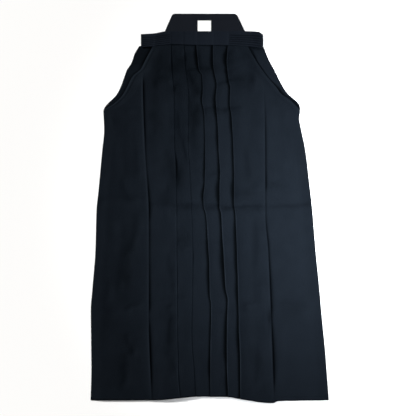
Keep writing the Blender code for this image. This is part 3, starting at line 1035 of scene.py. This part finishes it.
def frontTie(side):
    way = -1 if side == "Left" else 1
    at = columnsAt(np.array([[0.0]]))
    endX = bandEdges[0].x if way < 0 else bandEdges[-1].x
    upper = waistY + tie["top"]
    lower = upper - tie["width"]
    level = boardTop + cloth["tieWall"] + cloth["pitch"]
    inner = at["tieInner" + side][0, 0]
    outer = at["tieOuter" + side][0, 0]
    turned = tie["width"] - tie["top"]
    rows = []
    for x in np.linspace(endX - way * tie["inset"], outer + way * tie["mitre"], tie["short"]):
        z = level - fallAt(x)
        rows.append([(x, upper, z), (x, lower, z)])
    rows.append([(inner, upper, level), (outer, lower, level)])
    drops = [turned + tie["mitre"], *np.linspace(tie["firstDrop"], tie["end"], tie["rows"])]
    rows += [tieRow("frontTieDown", side, drop) for drop in drops]
    low = tieRow("frontTieDown", side, tie["end"])
    high = tieRow("frontTieUp", side, tie["end"])
    for turn in np.radians([-45, 0, 45]):
        row = []
        for (x, y, lowZ), (_, _, highZ) in zip(low, high):
            radius = (highZ - lowZ) / 2
            row.append((x, y - radius * math.cos(turn), (lowZ + highZ) / 2 + radius * math.sin(turn)))
        rows.append(row)
    rows += [tieRow("frontTieUp", side, drop) for drop in drops[:2:-1]]
    return tieSheet("frontTie" + side, rows)


ties = {side: (backTie(side), frontTie(side)) for side in ("Left", "Right")}
print("ties and gusset made")

# Front band: a strip folded over the pleats' top edge, quilted with rows of stitches towards its ends
band = {
    "wall": 0.0011,
    "turn": 0.004,
    "round": 0.0015,
    "sink": 0.0003,
    "columns": 190,
    "stitchRows": [0.12, 0.28, 0.43, 0.58, 0.74],
    "stitchHalf": 0.030,
    "quilted": [(-0.175, -0.100), (0.050, 0.1355)],
    "quiltEnd": 0.003,
    "quiltDepth": 0.0006,
    "quiltShade": 0.80,
    "faces": 56,
    "joinX": -0.142,
    "joinRun": 0.0015,
    "joinStep": 0.0009,
    "uneven": 0.00025,
    "step": 0.0008,
    "stepRise": 0.0012,
    "stepFall": 0.012,
    "stitch": 0.0032,
}
stitchShape = {"length": 0.42, "half": 0.00028, "height": 0.00022, "above": 0.00008}


def quilting(x, share):
    # 1 along every row of stitches, 0 away from them
    rows = np.zeros_like(x)
    for start, end in band["quilted"]:
        zone = inside(x - start, end - x, band["quiltEnd"])
        for row in band["stitchRows"]:
            rows = rows + zone * bell(share - row, band["stitchHalf"])
    return rows


def bandEnds(x):
    lower = waistY + tableAt(bandEdges, "lower", x)
    return lower, waistY + tableAt(bandEdges, "upper", x) - band["wall"] / 2


def bandFace(x, share):
    # (y, z) on the band's front, from its lower edge at 0 to its upper one at 1
    drops = np.zeros_like(x)
    at = columnsAt(drops)
    lower, upper = bandEnds(x)
    over = stackedOver(x, drops, at, order["frontInner"], len(layers))
    z = cloth["bandBack"] + cloth["pitch"] - band["sink"] + over - fallAt(x)
    z = z + band["joinStep"] * (eased((x - band["joinX"]) / band["joinRun"] + 0.5) - 1)
    z = z + band["uneven"] * softNoise(x, share, *noises["band"])
    for name in "deabc":
        s = (x - at[name]) * (-1 if name in "de" else 1)  # the pleats' steps show through the band
        rise = np.exp(np.minimum(s, 0) / band["stepRise"])
        z = z + band["step"] * np.where(s < 0, rise, np.exp(-s / band["stepFall"]))
    return lower + (upper - lower) * share, z - band["quiltDepth"] * quilting(x, share)


def frontBand():
    x = np.linspace(bandEdges[0].x, bandEdges[-1].x, band["columns"])[None, :]
    back = cloth["bandBack"] - fallAt(x)
    _, top = bandFace(x, 1 + 0 * x)
    lower, upper = bandEnds(x)
    reach = np.minimum((top - back) / 2, band["round"])
    ys = [waistY + band["turn"] + 0 * x, upper - reach]
    zs = [back, back]
    for turn in roundFold:
        ys.append(upper - reach + reach * math.cos(turn))
        zs.append((top + back) / 2 + (top - back) / 2 * math.sin(turn))
    shades = [0 * x for _ in ys]
    for share in np.linspace(1, 0, band["faces"]):
        ys.append(lower + (upper - reach - lower) * share)
        zs.append(bandFace(x, share + 0 * x)[1])
        # painted shade along the rows of stitches
        shades.append(band["quiltShade"] * quilting(x, share + 0 * x))
    y, z, shade = (np.concatenate(parts) for parts in (ys, zs, shades))
    return clothSheet("frontBand", x + 0 * y, y, z, shade, band["wall"])


bandPiece = frontBand()


def bandStitches():
    # one short thread, copied along every row
    bpy.ops.mesh.primitive_uv_sphere_add(segments=6, ring_count=4, radius=1)
    piece, mesh = named("bandStitches")
    size = [band["stitch"] * stitchShape["length"], stitchShape["half"], stitchShape["height"]]
    unit = np.array([v.co for v in mesh.vertices]) * size
    polys = [list(p.vertices) for p in mesh.polygons]
    points = []
    faces = []
    for start, end in band["quilted"]:
        for row in band["stitchRows"]:
            for x in np.arange(start + band["quiltEnd"], end - band["quiltEnd"], band["stitch"]):
                y, z = bandFace(np.array([[x]]), np.array([[row]]))
                base = len(points)
                centre = [x, y[0, 0], z[0, 0] + band["wall"] / 2 + stitchShape["above"]]
                points += list(unit + centre)
                faces += [[base + i for i in p] for p in polys]
    mesh.clear_geometry()
    mesh.from_pydata(points, [], faces)
    return finished(piece)


stitches = bandStitches()
print("band made")

# Back board: a stiff core covered in twill, with a softly rounded rim
board = {
    "corner": 0.006,
    "rim": 0.0011,
    "height": 0.083,
    "top": (-0.0955, 0.0690),
    "base": (-0.1320, 0.1092),
    "sharp": 0.9,  # only edges that turn more than this, in radians, are rounded
    "smooth": 0.6,
}


def backBoard():
    bpy.ops.mesh.primitive_plane_add(size=1)
    piece, mesh = named("backBoard")
    low = waistY + seamGap
    high = waistY + board["height"]
    ends = [(x, low) for x in board["base"]] + [(x, high) for x in board["top"]]
    for vertex, (x, y) in zip(mesh.vertices, ends):
        vertex.co = (x, y, 0.0)
        vertex.select = y == high
    for part in (mesh.edges, mesh.polygons):
        for item in part:
            item.select = False
    bpy.ops.object.mode_set(mode="EDIT")
    bpy.ops.mesh.bevel(affect="VERTICES", offset=board["corner"], segments=6)
    bpy.ops.mesh.select_all(action="SELECT")
    bpy.ops.mesh.extrude_region_move(TRANSFORM_OT_translate={"value": (0, 0, boardTop)})
    bpy.ops.mesh.select_all(action="SELECT")
    bpy.ops.mesh.normals_make_consistent(inside=False)
    bpy.ops.object.mode_set(mode="OBJECT")
    rim = piece.modifiers.new("rim", "BEVEL")
    rim.width = board["rim"]
    rim.segments = 4
    rim.limit_method = "ANGLE"
    rim.angle_limit = board["sharp"]
    bpy.ops.object.modifier_apply(modifier="rim")
    bpy.ops.object.shade_smooth_by_angle(angle=board["smooth"])
    bpy.ops.object.select_all(action="DESELECT")
    return piece


boardPiece = backBoard()

label = {
    "left": -0.0306,
    "right": 0.0042,
    "top": 0.0648,
    "low": 0.0290,
    "wall": 0.0004,
    "above": 0.0006,
    "rise": 0.0005,
    "sewn": 0.004,
    "riseRun": 0.03,
    "uneven": 0.00012,
    "faces": 24,
}


def sizeLabel():
    across = np.linspace(label["left"], label["right"], label["faces"])
    x, above = np.meshgrid(across, np.linspace(label["top"], label["low"], label["faces"]))
    y = above + waistY
    turn = np.clip((above - label["low"] - label["sewn"]) / label["riseRun"], 0, 1)
    z = boardTop + label["above"] + label["rise"] * turn ** 2
    z = z + label["uneven"] * softNoise(x, y, *noises["label"])
    return clothSheet("sizeLabel", x, y, z, 0 * x, label["wall"])


labelPiece = sizeLabel()
print("board and label made")


# Finishes
twillLook = {
    "dark": (0.0031, 0.0043, 0.0062, 1),
    "light": (0.0055, 0.0075, 0.0107, 1),
    # the colour of painted shade, then the paler colour of wear and painted highlight
    "crease": (0.0002, 0.0003, 0.0004, 1),
    "worn": (0.0110, 0.0150, 0.0205, 1),
    "roughness": 0.60,
    "specular": 0.010,
    "tint": (0.60, 0.80, 1.0, 1),
    "weaveScale": 560,
    "grainScale": 420,
    "mottleScale": 24,
    "mottleShare": 0.22,
    "toneFrom": 0.34,
    "toneTo": 0.66,
    "bump": 0.00006,
    "bumpStrength": 0.6,
}
bandLook = dict(
    twillLook, dark=(0.0044, 0.0057, 0.0084, 1), light=(0.0066, 0.0087, 0.0128, 1), roughness=0.66
)
boardLook = dict(
    twillLook, dark=(0.0056, 0.0065, 0.0088, 1), light=(0.0078, 0.0092, 0.0126, 1), roughness=0.70
)
threadLook = dict(bandLook, dark=(0.0050, 0.0065, 0.0094, 1), light=(0.0076, 0.0100, 0.0146, 1))


def addNode(tree, kind, inputs, **settings):
    # an input is a value or another node's output
    node = tree.nodes.new("ShaderNode" + kind)
    for name, value in settings.items():
        setattr(node, name, value)
    for name, value in inputs.items():
        if isinstance(value, bpy.types.NodeSocket):
            tree.links.new(value, node.inputs[name])
        else:
            node.inputs[name].default_value = value
    return node


def mixColours(tree, factor, a, b):
    mix = addNode(tree, "Mix", {"Factor": factor, "A": a, "B": b}, data_type="RGBA")
    return mix.outputs["Result"]


def blankFinish(name, roughness):
    finish = bpy.data.materials.new(name)
    finish.use_nodes = True
    shader = finish.node_tree.nodes["Principled BSDF"]
    shader.inputs["Roughness"].default_value = roughness
    return finish, finish.node_tree, shader


def twillFinish(name, look):
    finish, tree, shader = blankFinish(name, look["roughness"])
    shader.inputs["Specular IOR Level"].default_value = look["specular"]
    shader.inputs["Specular Tint"].default_value = look["tint"]
    uv = addNode(tree, "UVMap", {}).outputs["UV"]
    place = addNode(tree, "TexCoord", {}).outputs["Object"]
    weave = {"Vector": uv, "Scale": look["weaveScale"], "Distortion": 0.6, "Detail Scale": 2.0}
    weave = addNode(tree, "TexWave", weave, bands_direction="DIAGONAL").outputs["Fac"]
    grain = {"Vector": uv, "Scale": look["grainScale"], "Detail": 3}
    grain = addNode(tree, "TexNoise", grain).outputs["Fac"]
    mottle = {"Vector": place, "Scale": look["mottleScale"], "Detail": 4}
    mottle = addNode(tree, "TexNoise", mottle).outputs["Fac"]
    share = {"Factor": look["mottleShare"], "A": grain, "B": mottle}
    share = addNode(tree, "Mix", share).outputs["Result"]
    tone = {"Value": share, "From Min": look["toneFrom"], "From Max": look["toneTo"]}
    tone = addNode(tree, "MapRange", tone).outputs["Result"]
    # the cloth's painted shade and wear attribute: above 0 painted shade, below 0 paler with wear and
    # painted highlight
    crease = addNode(tree, "Attribute", {}, attribute_name="crease").outputs["Fac"]
    paleWearAndHighlight = addNode(tree, "Math", {0: crease, 1: -1}, operation="MULTIPLY", use_clamp=True)
    colour = mixColours(tree, tone, look["dark"], look["light"])
    colour = mixColours(tree, paleWearAndHighlight.outputs["Value"], colour, look["worn"])
    colour = mixColours(tree, crease, colour, look["crease"])
    tree.links.new(colour, shader.inputs["Base Color"])
    bump = {"Height": weave, "Distance": look["bump"], "Strength": look["bumpStrength"]}
    bump = addNode(tree, "Bump", bump).outputs["Normal"]
    tree.links.new(bump, shader.inputs["Normal"])
    return finish


tapeLook = {
    "thin": (0.74, 0.74, 0.72, 1),
    "thick": (0.84, 0.84, 0.83, 1),
    "roughness": 0.6,
    "ribs": 420,
    "bump": 0.00008,
}


def labelFinish():
    finish, tree, shader = blankFinish("whiteTape", tapeLook["roughness"])
    uv = addNode(tree, "UVMap", {}).outputs["UV"]
    rib = {"Vector": uv, "Scale": tapeLook["ribs"]}
    rib = addNode(tree, "TexWave", rib, bands_direction="Y").outputs["Fac"]
    colour = mixColours(tree, rib, tapeLook["thin"], tapeLook["thick"])
    tree.links.new(colour, shader.inputs["Base Color"])
    bump = addNode(tree, "Bump", {"Height": rib, "Distance": tapeLook["bump"]}).outputs["Normal"]
    tree.links.new(bump, shader.inputs["Normal"])
    return finish


# each finish with its slot
twill = (twillFinish("navyTwill", twillLook), "navy_twill")
bandTwill = (twillFinish("navyBand", bandLook), "navy_band")
boardTwill = (twillFinish("navyBoard", boardLook), "navy_board")
tape = (labelFinish(), "white_label")
thread = (twillFinish("navyThread", threadLook), "navy_band")


def dress(piece, look):
    finish, slot = look
    piece.data.materials.clear()
    piece.data.materials.append(finish)
    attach(piece, "root")


# piece, finish, CAD node, flat size of its cut, flat area, how it is held, what it rests on
made = [
    (frontLeft, twill, "front_panel_left", (0.480, 0.945), 0.403, "laid", [backLeft]),
    (frontRight, twill, "front_panel_right", (0.560, 0.945), 0.445, "laid", [backRight]),
    (backLeft, twill, "back_panel_left", (0.430, 0.914), 0.366, "laid", []),
    (backRight, twill, "back_panel_right", (0.390, 0.914), 0.302, "laid", []),
    (gusset, twill, "crotch_gusset", (0.048, 0.092), None, "laid", [backLeft, backRight]),
    (bandPiece, bandTwill, "front_band", (0.315, 0.070), None, "folded", [boardPiece]),
    (ties["Left"][0], bandTwill, "back_tie_left", (0.030, 0.848), None, "folded", [backLeft]),
    (ties["Left"][1], bandTwill, "front_tie_left", (0.030, 1.690), None, "folded", [backLeft]),
    (ties["Right"][0], bandTwill, "back_tie_right", (0.030, 0.848), None, "folded", [backRight]),
    (ties["Right"][1], bandTwill, "front_tie_right", (0.030, 1.690), None, "folded", [backRight]),
    (labelPiece, tape, "size_label", (0.036, 0.036), None, "laid", [boardPiece]),
]
for piece, look, node, flat, area, held, under in made:
    dress(piece, look)
    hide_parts(node)
dress(boardPiece, boardTwill)
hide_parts("back_board")
dress(stitches, thread)
print("finishes set")

# Floor, lights and camera
floorSheet = {"size": 12, "below": 0.0002, "tone": 0.95, "roughness": 0.9}
skyStrength = 0.22
raking = {  # low and from the upper left, so that folds and creases show
    "from": (-0.80, 0.42, 0.50),
    "energy": 5.3,
    "angle": 10,
    "colour": (1.0, 0.99, 0.97),
}
overhead = {  # straight down on the right, fading to the left
    "place": (0.38, -0.01, 2.60),
    "energy": 1080,
    "cone": 26,
    "size": 0.30,
    "colour": (0.92, 0.96, 1.0),
}
view = {"place": (-0.0041, 0.0008, 3.0), "lens": 100.6, "sensor": 36}

bpy.ops.mesh.primitive_plane_add(size=floorSheet["size"], location=(0, 0, -floorSheet["below"]))
floor = bpy.context.active_object
floor.name = "paleFloor"
paper, _, paperShader = blankFinish("palePaper", floorSheet["roughness"])
paperShader.inputs["Base Color"].default_value = (*[floorSheet["tone"]] * 3, 1)
floor.data.materials.append(paper)

world = bpy.data.worlds.new("softWhite")
world.use_nodes = True
sky = world.node_tree.nodes["Background"]
sky.inputs["Color"].default_value = (1, 1, 1, 1)
sky.inputs["Strength"].default_value = skyStrength
bpy.context.scene.world = world

bpy.ops.object.light_add(type="SUN", location=raking["from"])
sun = bpy.context.active_object
sun.name = "rakingLight"
sun.data.energy = raking["energy"]
sun.data.angle = math.radians(raking["angle"])
sun.data.color = raking["colour"]
sun.rotation_euler = Vector(raking["from"]).to_track_quat("Z", "Y").to_euler()

bpy.ops.object.light_add(type="SPOT", location=overhead["place"])
spot = bpy.context.active_object
spot.name = "overheadLight"
spot.data.energy = overhead["energy"]
spot.data.spot_size = math.radians(overhead["cone"])
spot.data.spot_blend = 1.0
spot.data.shadow_soft_size = overhead["size"]
spot.data.color = overhead["colour"]

bpy.ops.object.camera_add(location=view["place"], rotation=(0, 0, 0))
camera = bpy.context.active_object
camera.data.lens = view["lens"]
camera.data.sensor_width = view["sensor"]
bpy.context.scene.camera = camera
bpy.context.scene.view_settings.view_transform = "Standard"
print("studio set")
